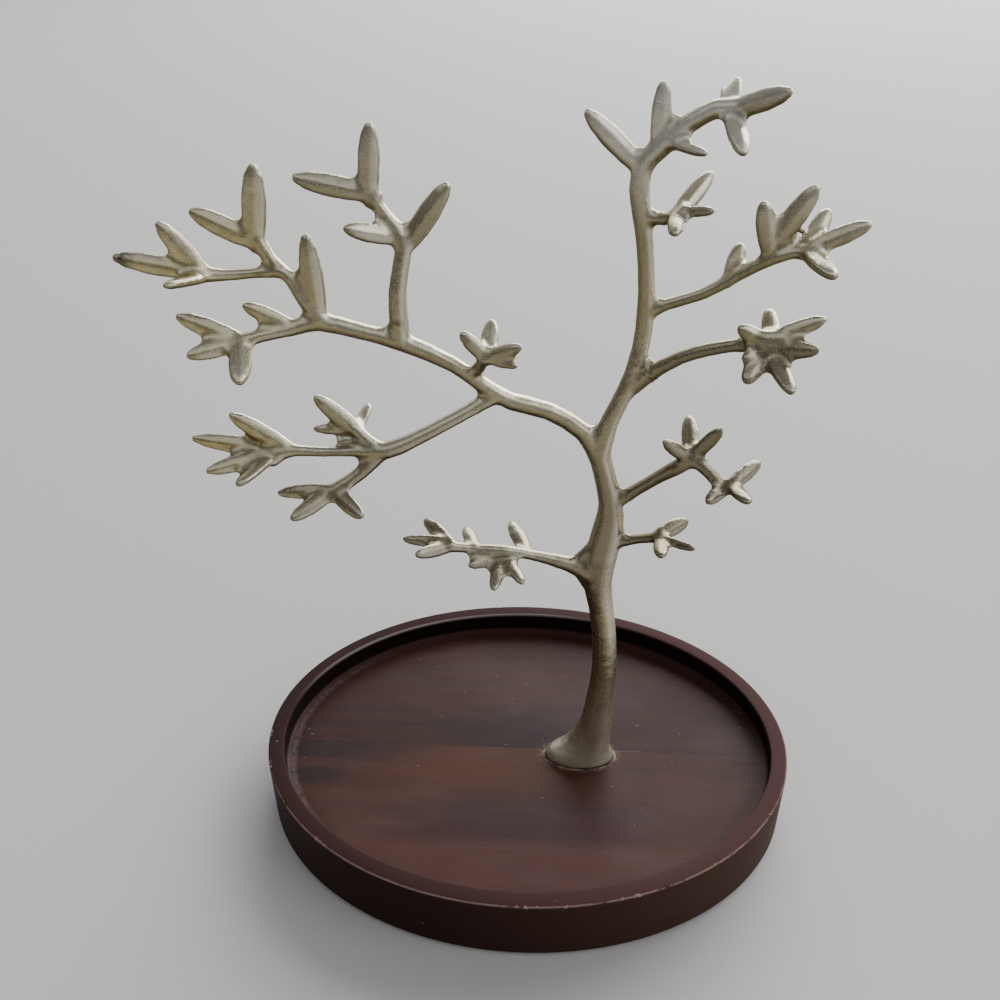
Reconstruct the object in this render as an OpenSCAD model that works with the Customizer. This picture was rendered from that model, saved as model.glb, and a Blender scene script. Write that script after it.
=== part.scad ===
// Jewellery tree: a brazed tree of cast leaf branches, bolted to an oval rimmed wooden tray.
// Origin at the middle of the underside, +X along the tray's long axis, -Y the front, +Z up.

/* [Tray] */
// Length of the oval tray
tray_l = 232; // [200:1:260]
// Width of the oval tray
tray_w = 178; // [150:1:200]
// Height of the tray's rim above the felt
tray_h = 30; // [24:1:36]
// Width of the rim
rim_w = 7; // [5:0.5:12]
// Depth of the recess inside the rim
recess_d = 10; // [6:0.5:12]
// Thickness of the felt pad under the tray
felt_t = 2; // [1:0.5:3]
// Distance from the tray's edge to the felt pad's edge
felt_inset = 3; // [2:0.5:8]

/* [Tree] */
// Sides of a limb's cross-section
limb_sides = 12; // [8:2:16]
// Rings between two points of a limb's path
limb_steps = 2; // [2:1:4]
// Thickness of a leaf as a share of its width
leaf_flat = 0.6; // [0.4:0.02:0.8]

/* [Fixing bolt] */
// Diameter of the bolt's shank
bolt_d = 6; // [5:0.5:6]
// Length of the bolt's shank
bolt_l = 26; // [22:1:30]
// Distance across the flats of the bolt's head
bolt_af = 10; // [9:0.5:10]
// Height of the bolt's head
bolt_head_h = 4; // [3:0.5:5]
// Depth of the recess for the bolt's head in the tray's underside
counterbore_h = 9; // [8:0.5:11]
// Diameter of the recess for the bolt's head
counterbore_d = 20; // [18:1:24]

/* [Hidden] */

metal = "#b5ab93";
wood = "#4a211c";
steel = "#8d9094";
felt = "#26221f";

tray_top = felt_t + tray_h;
floor_z = tray_top - recess_d;
seat_z = felt_t + counterbore_h;
washer_t = 1.6;
spring_t = 1.6;
washer_d = 16;
spring_d = 11;
clearance = 0.4;
bolt_at = [27, -4, 0];
foot_y = -3;
head_z = seat_z - washer_t - spring_t;
bolt_end_z = head_z + bolt_l;
oval_points = 120;

// ---------------------------------------------------------------- limb paths
// Every point is [x, y, z, diameter]. A path carries on past a brazed joint, and the castings on
// both sides of the joint draw their own part of it, so the two faces are the same ring.

trunk_path = [
    [29, -4, 34, 12], [31, -4, 45, 13.5], [32, -4, 58, 12], [33, -4, 76, 10.5], [32, -4, 95, 10],
    [30, -4, 110, 10], [28, -4, 123, 11.5], [29, -4, 137, 12.5], [31, -4, 150, 11.5],
    [31, -4, 161, 9], [28, -4, 174, 8], [25, -4, 185, 8]
];
left_path = [
    [26, -4, 180, 7.5], [20, -4, 191, 7], [7, -5, 200, 6.5], [-6, -6, 204, 6.5], [-15, -7, 210, 6],
    [-26, -8, 219, 5.5], [-43, -8, 227, 6.5], [-56, -9, 231, 5.5], [-71, -10, 235, 6.5],
    [-80, -12, 233, 5], [-89, -15, 232, 4.5], [-97, -17, 230, 5]
];
left_cut = 7;
right_path = [
    [26, -4, 183, 8], [29, -4, 196, 6.5], [34, -3, 208, 6], [38, -1, 222, 6], [39, 0, 237, 6],
    [38, 0, 252, 5.5], [36, 0, 266, 6], [34, 0, 277, 6.5], [35, 0, 285, 6.5], [40, -1, 291, 6.5],
    [47, -3, 298, 6], [55, -5, 303, 5.5], [61, -6, 303, 6]
];
right_cut = 7;
low_left_path = [
    [28, -4, 126, 11], [20, -5, 131, 8], [12, -7, 135, 5.5], [2, -9, 139, 4.2], [-8, -12, 143, 4.5],
    [-19, -14, 145, 3.8], [-30, -17, 148, 4.5]
];
low_left_cut = 2;
low_right_path = [[30, -4, 144, 9], [37, -6, 145, 5], [43, -9, 148, 3.5], [51, -13, 152, 4.5]];
low_right_cut = 2;
mid_right_path = [
    [30, -4, 160, 8], [37, -5, 165, 5], [46, -8, 174, 4.5], [53, -11, 181, 5.5], [59, -12, 185, 5.5],
    [65, -14, 181, 4.5], [69, -15, 177, 4.5], [74, -16, 177, 4.5]
];
mid_right_cut = 1;
bough_path = [
    [-11, -7, 207, 5.5], [-19, -9, 203, 5], [-30, -13, 198, 5], [-41, -16, 193, 5.5],
    [-50, -18, 190, 6.5], [-61, -19, 190, 4], [-72, -20, 190, 3.5], [-82, -21, 191, 4.5], [-89, -22, 190, 6]
];
bough_cut = 1;
bough_low_path = [[-52, -18, 189, 6], [-59, -20, 182, 5], [-65, -22, 178, 5], [-70, -23, 175, 5.5]];
bough_stalk_path = [[-52, -18, 190, 5.5], [-58, -17, 195, 4.5], [-61, -16, 198, 5]];
left_sprig_path = [[-21, -7, 214, 4.5], [-17, -10, 219, 3.5], [-15, -12, 224, 5]];
left_sprig_cut = 1;
upright_path = [
    [-44, -8, 227, 7], [-44, -8, 234, 6.5], [-44, -7, 245, 6], [-42, -5, 256, 5.5], [-42, -4, 262, 6],
    [-47, -3, 269, 4.5], [-51, -3, 275, 5]
];
upright_cut = 1;
tip_upper_path = [
    [-70, -10, 236, 6], [-75, -10, 243, 5], [-79, -9, 250, 4.5], [-85, -7, 255, 4.5], [-89, -6, 262, 5.5]
];
tip_upper_cut = 2;
tip_arm_path = [
    [-81, -9, 252, 4], [-91, -8, 251, 3.5], [-100, -10, 251, 4], [-108, -12, 252, 6]
];
upper_right_path = [
    [39, 0, 235, 5.5], [45, -1, 239, 4], [57, -3, 244, 4], [66, -4, 250, 4], [76, -6, 257, 4.5],
    [84, -7, 260, 4], [89, -8, 261, 5]
];
upper_right_cut = 1;
right_sprig_path = [[36, 0, 269, 5], [42, -3, 269, 4], [47, -8, 272, 4.5]];
right_sprig_cut = 1;
rosette_path = [
    [36, -2, 209, 7], [42, -4, 215, 5.5], [51, -8, 223, 4.5], [61, -11, 228, 4.5], [70, -14, 231, 4.5],
    [78, -16, 232, 8]
];
mid_branch_cut = 1;
rosette_cut = 4;

// ---------------------------------------------------------------- leaves
// Every leaf is [root, tip, width].

low_left_leaves = [
    [[0, -9, 140], [-7, 6, 144], 6.5], [[-20, -14, 146], [-24, -3, 147], 5.5],
    [[-10, -12, 141], [-22, -20, 141], 5.4], [[-10, -12, 140], [-12, -28, 136], 5.5],
    [[-8, -12, 140], [-1, -25, 137], 5.2], [[-29, -16, 149], [-47, -16, 150], 4.8],
    [[-29, -16, 149], [-40, -4, 151], 5.5], [[-29, -16, 147], [-41, -26, 150], 5.2]
];
low_right_leaves = [
    [[49, -12, 152], [61, -3, 153], 6.2], [[51, -13, 151], [62, -22, 153], 3.8],
    [[50, -13, 151], [49, -26, 152], 5.6]
];
mid_right_leaves = [
    [[57, -12, 186], [47, -16, 195], 5.2], [[58, -12, 187], [58, 3, 195], 6.5],
    [[59, -12, 187], [67, -15, 200], 5.2], [[73, -16, 178], [84, -5, 181], 5.8],
    [[73, -16, 177], [77, -28, 178], 6.2], [[71, -15, 176], [63, -24, 175], 5.4]
];
bough_leaves = [
    [[-84, -21, 192], [-103, -21, 205], 6.3], [[-88, -21, 191], [-118, -21, 195], 6.3],
    [[-90, -22, 190], [-111, -32, 188], 5.8], [[-90, -22, 189], [-99, -37, 186], 6.2],
    [[-70, -23, 176], [-90, -23, 174], 5.4], [[-70, -23, 175], [-83, -34, 170], 5.8],
    [[-69, -23, 175], [-57, -34, 172], 6], [[-60, -16, 197], [-74, -16, 210], 6.2],
    [[-62, -16, 197], [-76, -16, 197], 4.2], [[-60, -16, 197], [-57, -5, 202], 4.5]
];
left_sprig_leaves = [
    [[-15, -12, 224], [-23, -12, 233], 5.2], [[-14, -12, 224], [-13, -1, 233], 6],
    [[-14, -12, 224], [-2, -16, 230], 5], [[-14, -12, 223], [-3, -17, 223], 3.7]
];
upright_leaves = [
    [[-40, -4, 260], [-26, -4, 280], 7.2], [[-43, -4, 262], [-59, -13, 268], 6],
    [[-52, -3, 275], [-50, -3, 298], 7], [[-51, -3, 276], [-76, -3, 281], 7]
];
tip_lower_leaves = [
    [[-71, -10, 236], [-72, -10, 265], 7.5], [[-80, -12, 234], [-95, -13, 242], 5.6],
    [[-96, -16, 230], [-117, -16, 239], 6.6], [[-97, -17, 230], [-113, -24, 228], 6],
    [[-96, -17, 230], [-94, -32, 222], 7.5]
];
tip_upper_leaves = [
    [[-90, -6, 261], [-87, -6, 286], 8], [[-90, -6, 261], [-110, -6, 271], 7],
    [[-107, -12, 253], [-119, -12, 269], 6.5], [[-109, -13, 253], [-135, -14, 258], 6.5],
    [[-107, -13, 251], [-114, -28, 254], 6]
];
crown_leaves = [
    [[34, 0, 284], [16, 0, 301], 6.8], [[39, -1, 290], [39, -1, 310], 6.4],
    [[43, -2, 292], [52, -14, 292], 5.5], [[59, -5, 302], [62, 6, 310], 4],
    [[58, -5, 302], [58, 6, 307], 3.5], [[60, -6, 303], [73, -20, 311], 6.5],
    [[59, -5, 302], [62, -19, 293], 6.5]
];
upper_right_leaves = [
    [[65, -4, 249], [69, 4, 259], 6], [[76, -6, 260], [72, -6, 276], 6.6],
    [[77, -5, 261], [88, -6, 281], 7], [[87, -7, 260], [95, 3, 271], 6.3],
    [[89, -8, 262], [106, -8, 270], 6], [[88, -8, 260], [94, -21, 257], 8]
];
right_sprig_leaves = [
    [[46, -7, 272], [57, 4, 282], 5.8], [[47, -8, 273], [56, -17, 276], 3.8],
    [[46, -7, 272], [44, -19, 269], 5.6]
];
rosette_leaves = [
    [[77, -17, 233], [67, -18, 239], 5.8], [[79, -16, 233], [79, -5, 240], 6],
    [[79, -17, 235], [95, -17, 242], 5.5], [[79, -17, 231], [92, -26, 235], 6],
    [[79, -17, 230], [84, -33, 223], 7], [[77, -17, 230], [70, -26, 223], 6.5],
    [[76, -17, 231], [69, -22, 229], 4.8]
];

// ---------------------------------------------------------------- curves and sections
function unit(v) = v / norm(v);
function place(p) = [p[0], p[1], p[2]];

// Point of a smooth curve through the path's points, from point i on by a share t of the gap
function along(path, i, t) =
    let (last = len(path) - 1)
    let (a = path[max(i - 1, 0)], b = path[i], c = path[min(i + 1, last)], d = path[min(i + 2, last)])
    b + t * ((c - a) + t * ((2 * a - 5 * b + 4 * c - d) + t * (3 * b - a - 3 * c + d))) / 2;

function smooth(path) = [
    for (i = [0 : len(path) - 2]) for (s = [0 : limb_steps - 1]) along(path, i, s / limb_steps),
    path[len(path) - 1]
];

function heading(points, i) =
    unit(place(points[min(i + 1, len(points) - 1)]) - place(points[max(i - 1, 0)]));

function ring(points, i) =
    let (ahead = heading(points, i))
    let (side = unit(cross(ahead, [0, 1, 0])))
    let (front = cross(ahead, side))
    [for (k = [0 : limb_sides - 1])
        place(points[i]) + points[i][3] / 2 * (cos(360 * k / limb_sides) * side
            + sin(360 * k / limb_sides) * front)];

// Closed skin over a stack of rings that have the same number of points
module skin(rings) {
    sides = len(rings[0]);
    last = len(rings) - 1;
    polyhedron(
        points = [for (r = rings) each r],
        faces = concat(
            [[for (k = [0 : sides - 1]) k]],
            [[for (k = [sides - 1 : -1 : 0]) last * sides + k]],
            [for (i = [0 : last - 1]) for (k = [0 : sides - 1])
                let (a = i * sides + k, b = i * sides + (k + 1) % sides)
                each [[a, a + sides, b], [b, a + sides, b + sides]]]
        )
    );
}

// The part of a limb between two points of its path
module limb(path, from, to) {
    points = smooth(path);
    skin([for (i = [from * limb_steps : to * limb_steps]) ring(points, i)]);
}

// Six points round a leaf's cross-section: blunt edges, and a ridge on both faces
function rib(at, across, up, w, t) =
    let (edge = t * 0.21)
    [for (p = [
        [w / 2, edge], [0, t / 2], [-w / 2, edge],
        [-w / 2, -edge], [0, -t / 2], [w / 2, -edge]
    ])
    at + p[0] * across + p[1] * up];

// A blunt, broad-footed leaf and the neck of metal that joins it to its limb
module leaf(leaf_row) {
    root = leaf_row[0];
    tip = leaf_row[1];
    w = leaf_row[2];
    span = tip - root;
    ahead = unit(span);
    across = unit(cross(ahead, abs(ahead[1]) > 0.75 ? [0, 0.3, 1] : [0, -1, 0.45]));
    up = cross(ahead, across);
    t = w * leaf_flat;
    hull() skin([
        rib(root, across, up, w * 0.76, t * 0.9),
        rib(root + 0.26 * span, across, up, w * 0.97, t),
        rib(root + 0.57 * span, across, up, w, t),
        rib(root + 0.84 * span, across, up, w * 0.77, t * 0.85),
        rib(tip, across, up, w * 0.32, t * 0.45)
    ]);
    hull() {
        translate(root - 0.09 * span) sphere(d = w * 0.5, $fn = 6);
        translate(root + 0.17 * span) sphere(d = w * 0.66, $fn = 6);
    }
}

module leaves(rows) {
    for (row = rows) leaf(row);
}

// A web of metal in the crook between two limbs
module web(a, b, c, d) {
    hull() {
        translate(a) sphere(d = d, $fn = 8);
        translate(b) sphere(d = d, $fn = 8);
        translate(c) sphere(d = d, $fn = 8);
    }
}

// ---------------------------------------------------------------- tray
module oval(inset) {
    polygon([for (k = [0 : oval_points - 1])
        let (turn = 360 * k / oval_points)
        [(tray_l / 2 - inset) * cos(turn), (tray_w / 2 - inset) * sin(turn)]]);
}

module bolt_bore(z, h, d) {
    translate([bolt_at[0], bolt_at[1], z]) cylinder(h = h, d = d, $fn = 48);
}

// The tray's boards are glued edge to edge on the long axis; side is 1 behind it and -1 in front
module tray_board(side) {
    difference() {
        translate([0, 0, felt_t]) linear_extrude(height = tray_h) intersection() {
            oval(0);
            translate([0, side * tray_w / 2]) square([tray_l + 2, tray_w], center = true);
        }
        translate([0, 0, floor_z]) linear_extrude(height = recess_d + 1) oval(rim_w);
        bolt_bore(felt_t - 1, counterbore_h + 1, counterbore_d);
        bolt_bore(felt_t - 1, tray_h + 2, bolt_d + clearance);
    }
}

module tray_front_board() { color(wood) tray_board(-1); }
module tray_back_board() { color(wood) tray_board(1); }

module felt_pad() {
    color(felt) linear_extrude(height = felt_t) oval(felt_inset);
}

// ---------------------------------------------------------------- fixing
module fixing_bolt() {
    color(steel) {
        translate([bolt_at[0], bolt_at[1], head_z - bolt_head_h])
            cylinder(h = bolt_head_h, d = bolt_af / cos(30), $fn = 6);
        bolt_bore(head_z, bolt_l, bolt_d);
    }
}

module spring_washer() {
    split = 1;
    color(steel) difference() {
        bolt_bore(head_z, spring_t, spring_d);
        bolt_bore(head_z - 1, spring_t + 2, bolt_d + clearance);
        translate([bolt_at[0], bolt_at[1] - split / 2, head_z - 1])
            cube([spring_d, split, spring_t + 2]);
    }
}

module flat_washer() {
    color(steel) difference() {
        bolt_bore(seat_z - washer_t, washer_t, washer_d);
        bolt_bore(seat_z - washer_t - 1, washer_t + 2, bolt_d + clearance);
    }
}

// ---------------------------------------------------------------- tree castings
function foot_ring(z, x, w, d) = [for (k = [0 : limb_sides * 2 - 1])
    let (turn = 180 * k / limb_sides)
    [x + w / 2 * cos(turn), foot_y + d / 2 * sin(turn), z]];

// The flared foot, longer on its left side, where its toe runs out on the tray's floor
module foot() {
    skin([
        foot_ring(floor_z, 24.5, 31, 17), foot_ring(floor_z + 2, 24.5, 30.5, 16.6),
        foot_ring(floor_z + 4.5, 25, 27.5, 15.8), foot_ring(floor_z + 7.5, 26.8, 22, 15),
        foot_ring(floor_z + 11, 28.3, 18.5, 14.5), foot_ring(floor_z + 16, 29.7, 16, 14),
        foot_ring(floor_z + 22.5, 31, 13.8, 13.5)
    ]);
}

module trunk() {
    color(metal) difference() {
        union() {
            foot();
            limb(trunk_path, 0, len(trunk_path) - 1);
            limb(left_path, 0, left_cut);
            limb(right_path, 0, right_cut);
            limb(low_left_path, 0, low_left_cut);
            limb(low_right_path, 0, low_right_cut);
            limb(mid_right_path, 0, mid_right_cut);
            limb(bough_path, 0, bough_cut);
            limb(left_sprig_path, 0, left_sprig_cut);
            limb(upright_path, 0, upright_cut);
            limb(upper_right_path, 0, upper_right_cut);
            limb(right_sprig_path, 0, right_sprig_cut);
            limb(rosette_path, 0, mid_branch_cut);
            web([28, -4, 144], [19, -5, 133], [27, -4, 128], 4.5);
            web([29, -4, 113], [20, -5, 129], [27, -4, 125], 4.5);
            web([33, -4, 141], [37, -6, 145], [32, -4, 149], 3);
            web([31, -4, 162], [34, -4, 163], [30, -4, 167], 3);
            web([26, -4, 190], [22, -4, 191], [26, -4, 184], 4);
            web([-15, -7, 208], [-17, -8, 204], [-11, -7, 206], 3);
            web([-22, -8, 216], [-19, -9, 216], [-18, -8, 212], 2);
            web([-48, -8, 229], [-44, -8, 231], [-40, -8, 226], 3);
            web([38, 0, 231], [42, 0, 237], [38, 0, 241], 3);
            web([36, 0, 264], [39, -1, 269], [36, 0, 272], 2.5);
            web([35, -2, 205], [39, -3, 212], [37, -2, 216], 3.5);
        }
        bolt_bore(floor_z - 1, bolt_end_z - floor_z + 3, bolt_d + clearance);
    }
}

module low_left_branch() {
    color(metal) union() {
        limb(low_left_path, low_left_cut, len(low_left_path) - 1);
        leaves(low_left_leaves);
    }
}

module low_right_branch() {
    color(metal) union() {
        limb(low_right_path, low_right_cut, len(low_right_path) - 1);
        leaves(low_right_leaves);
        web([47, -11, 150], [52, -11, 152], [51, -14, 151], 3);
        web([47, -11, 150], [50, -15, 151], [52, -14, 152], 3);
    }
}

module mid_right_branch() {
    color(metal) union() {
        limb(mid_right_path, mid_right_cut, len(mid_right_path) - 1);
        leaves(mid_right_leaves);
    }
}

module left_lower_bough() {
    color(metal) union() {
        limb(bough_path, bough_cut, len(bough_path) - 1);
        limb(bough_low_path, 0, len(bough_low_path) - 1);
        limb(bough_stalk_path, 0, len(bough_stalk_path) - 1);
        leaves(bough_leaves);
        web([-86, -22, 190], [-91, -22, 191], [-89, -24, 188], 4);
    }
}

module left_sprig() {
    color(metal) union() {
        limb(left_sprig_path, left_sprig_cut, len(left_sprig_path) - 1);
        leaves(left_sprig_leaves);
    }
}

module left_upright_branch() {
    color(metal) union() {
        limb(upright_path, upright_cut, len(upright_path) - 1);
        leaves(upright_leaves);
    }
}

module left_tip_lower() {
    color(metal) union() {
        limb(left_path, left_cut, len(left_path) - 1);
        limb(tip_upper_path, 0, tip_upper_cut);
        leaves(tip_lower_leaves);
    }
}

module left_tip_upper() {
    color(metal) union() {
        limb(tip_upper_path, tip_upper_cut, len(tip_upper_path) - 1);
        limb(tip_arm_path, 0, len(tip_arm_path) - 1);
        leaves(tip_upper_leaves);
    }
}

module right_crown() {
    color(metal) union() {
        limb(right_path, right_cut, len(right_path) - 1);
        leaves(crown_leaves);
    }
}

module right_upper_branch() {
    color(metal) union() {
        limb(upper_right_path, upper_right_cut, len(upper_right_path) - 1);
        leaves(upper_right_leaves);
    }
}

module right_sprig() {
    color(metal) union() {
        limb(right_sprig_path, right_sprig_cut, len(right_sprig_path) - 1);
        leaves(right_sprig_leaves);
        web([44, -5, 270], [48, -6, 273], [47, -9, 273], 3);
        web([44, -5, 270], [46, -9, 271], [48, -8, 274], 3);
    }
}

module right_mid_branch() {
    color(metal) limb(rosette_path, mid_branch_cut, rosette_cut);
}

module right_rosette() {
    color(metal) union() {
        limb(rosette_path, rosette_cut, len(rosette_path) - 1);
        leaves(rosette_leaves);
        web([75, -17, 235], [82, -17, 235], [79, -19, 227], 5.5);
    }
}

felt_pad();
tray_front_board();
tray_back_board();
fixing_bolt();
spring_washer();
flat_washer();
trunk();
low_left_branch();
low_right_branch();
mid_right_branch();
left_lower_bough();
left_sprig();
left_upright_branch();
left_tip_lower();
left_tip_upper();
right_crown();
right_upper_branch();
right_sprig();
right_mid_branch();
right_rosette();
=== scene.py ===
"""Looks of a cast-metal jewellery tree on an oval wooden tray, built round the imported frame."""

import math

import bmesh
import bpy
import numpy as np
from mathutils import Matrix, Vector, noise
from mathutils.bvhtree import BVHTree
from mathutils.kdtree import KDTree


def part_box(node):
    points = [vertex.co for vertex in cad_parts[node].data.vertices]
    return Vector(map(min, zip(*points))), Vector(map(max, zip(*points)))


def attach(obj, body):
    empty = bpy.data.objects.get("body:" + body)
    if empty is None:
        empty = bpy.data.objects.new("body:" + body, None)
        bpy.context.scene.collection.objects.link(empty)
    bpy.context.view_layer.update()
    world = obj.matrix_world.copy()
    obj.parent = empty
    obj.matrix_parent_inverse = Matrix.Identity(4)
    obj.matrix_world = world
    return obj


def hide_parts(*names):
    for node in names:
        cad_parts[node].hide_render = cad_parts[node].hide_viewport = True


MM = 0.001

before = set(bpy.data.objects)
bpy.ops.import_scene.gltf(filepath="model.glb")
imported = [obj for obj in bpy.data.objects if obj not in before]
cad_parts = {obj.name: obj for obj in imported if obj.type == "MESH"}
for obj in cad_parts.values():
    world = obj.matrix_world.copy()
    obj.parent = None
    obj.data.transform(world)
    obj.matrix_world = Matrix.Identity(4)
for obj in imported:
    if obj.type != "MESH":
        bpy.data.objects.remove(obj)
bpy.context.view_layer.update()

CASTINGS = [
    "trunk", "low_left_branch", "low_right_branch", "mid_right_branch", "left_lower_bough",
    "left_sprig", "left_upright_branch", "left_tip_lower", "left_tip_upper", "right_crown",
    "right_upper_branch", "right_sprig", "right_mid_branch", "right_rosette",
]
BOARDS = ["tray_front_board", "tray_back_board"]


# ---------------------------------------------------------------- places read from the frame
def span(nodes):
    """Lowest and highest corners of several nodes together."""
    corners = [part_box(n) for n in nodes]
    low = Vector(min(c[0][i] for c in corners) for i in range(3))
    high = Vector(max(c[1][i] for c in corners) for i in range(3))
    return low, high


tray_low, tray_high = span(BOARDS)
half_l = (tray_high.x - tray_low.x) / 2
half_w = (tray_high.y - tray_low.y) / 2
tray_top = tray_high.z
felt_top = tray_low.z
floor_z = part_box("trunk")[0].z
rim_w = 7 * MM
bolt_low, bolt_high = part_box("fixing_bolt")
bolt_x = (bolt_low.x + bolt_high.x) / 2
bolt_y = (bolt_low.y + bolt_high.y) / 2
seat_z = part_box("flat_washer")[1].z
BOLT_RADIUS = 3 * MM
BOLT_SLACK = 0.2 * MM
COUNTERBORE_RADIUS = 10 * MM


# ---------------------------------------------------------------- meshes
def piece_from(name, bm):
    """A new object from a bmesh, which is freed."""
    mesh = bpy.data.meshes.new(name)
    bm.to_mesh(mesh)
    bm.free()
    piece = bpy.data.objects.new(name, mesh)
    bpy.context.scene.collection.objects.link(piece)
    return piece


def take_over(piece, material, slot, *nodes):
    """Gives a piece its material and lets it stand for its CAD nodes."""
    piece.data.materials.clear()
    piece.data.materials.append(material)
    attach(piece, "root")
    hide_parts(*nodes)


def applied(piece):
    """The mesh of a piece with its modifiers worked in, and the modifiers gone."""
    graph = bpy.context.evaluated_depsgraph_get()
    mesh = bpy.data.meshes.new_from_object(piece.evaluated_get(graph))
    piece.modifiers.clear()
    old = piece.data
    piece.data = mesh
    bpy.data.meshes.remove(old)


def copied(node):
    """A bmesh of a CAD node's mesh, with its loose triangles merged."""
    bm = bmesh.new()
    bm.from_mesh(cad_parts[node].data)
    bmesh.ops.remove_doubles(bm, verts=bm.verts, dist=0.002 * MM)
    return bm


# ---------------------------------------------------------------- cast tree
COARSE = 0.7 * MM
VOXEL = 0.5 * MM
SHRINKAGE = 0.12 * MM
CROTCH = 1.6 * MM
BRAZE_REACH = 2.4 * MM
ROUGH_JOINTS = {"left_sprig": 0.55, "left_upright_branch": 0.4, "right_mid_branch": 0.6,
                "mid_right_branch": 0.35, "right_sprig": 0.4, "left_lower_bough": 0.3}


def joints_between(meshes):
    """Centre, direction and radius of every ring of points that two castings share."""
    found = []
    names = list(meshes)
    for i, a in enumerate(names):
        tree = KDTree(len(meshes[a].verts))
        for k, v in enumerate(meshes[a].verts):
            tree.insert(v.co, k)
        tree.balance()
        for b in names[i + 1:]:
            shared = [v.co.copy() for v in meshes[b].verts if tree.find(v.co)[2] < 0.004 * MM]
            if len(shared) < 8:
                continue
            centre = sum(shared, Vector()) / len(shared)
            points = np.array([list(p - centre) for p in shared])
            direction = Vector(np.linalg.svd(points)[2][2])
            middle_b = sum((v.co for v in meshes[b].verts), Vector()) / len(meshes[b].verts)
            if (middle_b - centre).dot(direction) < 0:
                direction.negate()
            radius = max((p - centre).length for p in shared)
            found.append((a, b, centre, direction, radius))
    return found


def read_points(source, key, size=3, kind=float):
    """One value of every point or edge, as rows of an array."""
    values = np.empty(len(source) * size, kind)
    source.foreach_get(key, values)
    return values.reshape(-1, size)


def write_points(mesh, co):
    mesh.vertices.foreach_set("co", co.ravel())
    mesh.update()


def neighbour_mean(co, edges, count):
    total = np.zeros_like(co)
    np.add.at(total, edges[:, 0], co[edges[:, 1]])
    np.add.at(total, edges[:, 1], co[edges[:, 0]])
    return total / count[:, None]


def neighbours(mesh):
    """The mesh's edges as pairs of points, and how many edges each point has."""
    edges = read_points(mesh.edges, "vertices", 2, int)
    return edges, np.bincount(edges.ravel(), minlength=len(mesh.vertices)).astype(float)


def eased(piece, rounds):
    """Takes the voxel steps off a skin and keeps its size: each pull in is followed by a push out."""
    mesh = piece.data
    co = read_points(mesh.vertices, "co")
    edges, count = neighbours(mesh)
    for pull in (0.6, -0.62) * rounds:
        co = co + pull * (neighbour_mean(co, edges, count) - co)
    write_points(mesh, co)


def swollen(piece, distance):
    """Moves a skin outwards, or inwards where the distance is negative."""
    mesh = piece.data
    co = read_points(mesh.vertices, "co")
    normals = read_points(mesh.vertices, "normal")
    write_points(mesh, co + normals * distance)


def reskinned(piece, voxel):
    remesh = piece.modifiers.new("skin", "REMESH")
    remesh.mode = "VOXEL"
    remesh.voxel_size = voxel
    applied(piece)


def cast_whole(meshes, joints):
    """All castings as one skin, as the brazed tree is, with metal run into every crotch."""
    whole = bmesh.new()
    for bm in meshes.values():
        mesh = bpy.data.meshes.new("part")
        bm.to_mesh(mesh)
        whole.from_mesh(mesh)
        bpy.data.meshes.remove(mesh)
    for _, _, centre, direction, radius in joints:
        turn = direction.to_track_quat("Z", "Y").to_matrix().to_4x4()
        bmesh.ops.create_cone(
            whole, cap_ends=True, segments=16, radius1=radius * 0.8, radius2=radius * 0.8,
            depth=radius, matrix=Matrix.Translation(centre) @ turn)
    piece = piece_from("casting", whole)
    reskinned(piece, COARSE)
    eased(piece, 3)
    swollen(piece, CROTCH)
    reskinned(piece, COARSE)
    eased(piece, 4)
    swollen(piece, SHRINKAGE - CROTCH)
    reskinned(piece, VOXEL)
    return piece


def cast_surface(piece, joints):
    """Softens the voxel steps, raises braze metal at the joints and stores how hollow each point is, how
    near a joint it is and which way it faces, for the metal's patina, wear and painted light and shade.
    """
    eased(piece, 3)
    mesh = piece.data
    co = read_points(mesh.vertices, "co")
    sole = co[:, 2] < floor_z + 0.45 * MM
    co[sole, 2] = floor_z
    write_points(mesh, co)
    normals = read_points(mesh.vertices, "normal")
    edges, links = neighbours(mesh)

    # How hollow a point is: the way that a wide smoothing would move it
    wide = co.copy()
    for _ in range(16):
        wide += 0.6 * (neighbour_mean(wide, edges, links) - wide)
    hollow = np.einsum("ij,ij->i", wide - co, normals) / (0.35 * MM)
    for _ in range(3):
        hollow += 0.5 * (neighbour_mean(hollow[:, None], edges, links)[:, 0] - hollow)

    braze = np.zeros(len(co))
    for a, b, centre, direction, radius in joints:
        away = co - np.array(centre)
        along = np.abs(away @ np.array(direction))
        out = np.linalg.norm(away, axis=1)
        near = np.clip(1 - along / BRAZE_REACH, 0, 1) * (out < radius * 2.2)
        strength = max(ROUGH_JOINTS.get(a, 0.12), ROUGH_JOINTS.get(b, 0.12))
        braze = np.maximum(braze, near * strength)
    lift = np.empty(len(co))
    for i, point in enumerate(co):
        p = Vector(point)
        uneven = noise.noise(p / (7 * MM)) * 0.10 + noise.noise(p / (2.2 * MM)) * 0.05
        lump = braze[i] * (0.45 + 0.9 * noise.noise(p / (1.5 * MM)))
        lift[i] = (uneven + lump) * MM
    lift[sole] = 0
    write_points(mesh, co + normals * lift[:, None])
    facing = {"hollow": hollow, "braze": braze, "upward": normals[:, 2], "leftward": -normals[:, 0],
              "forward": -normals[:, 1]}
    for name, values in facing.items():
        layer = mesh.attributes.new(name, "FLOAT", "POINT")
        layer.data.foreach_set("value", values.astype(np.float32))


def spread(first, passes):
    """The faces that are reached from a first one across the edges that may be passed."""
    seen = {first}
    group = [first]
    for f in group:
        for e in f.edges:
            if not passes(e):
                continue
            for other in e.link_faces:
                if other not in seen:
                    seen.add(other)
                    group.append(other)
    return group


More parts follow.
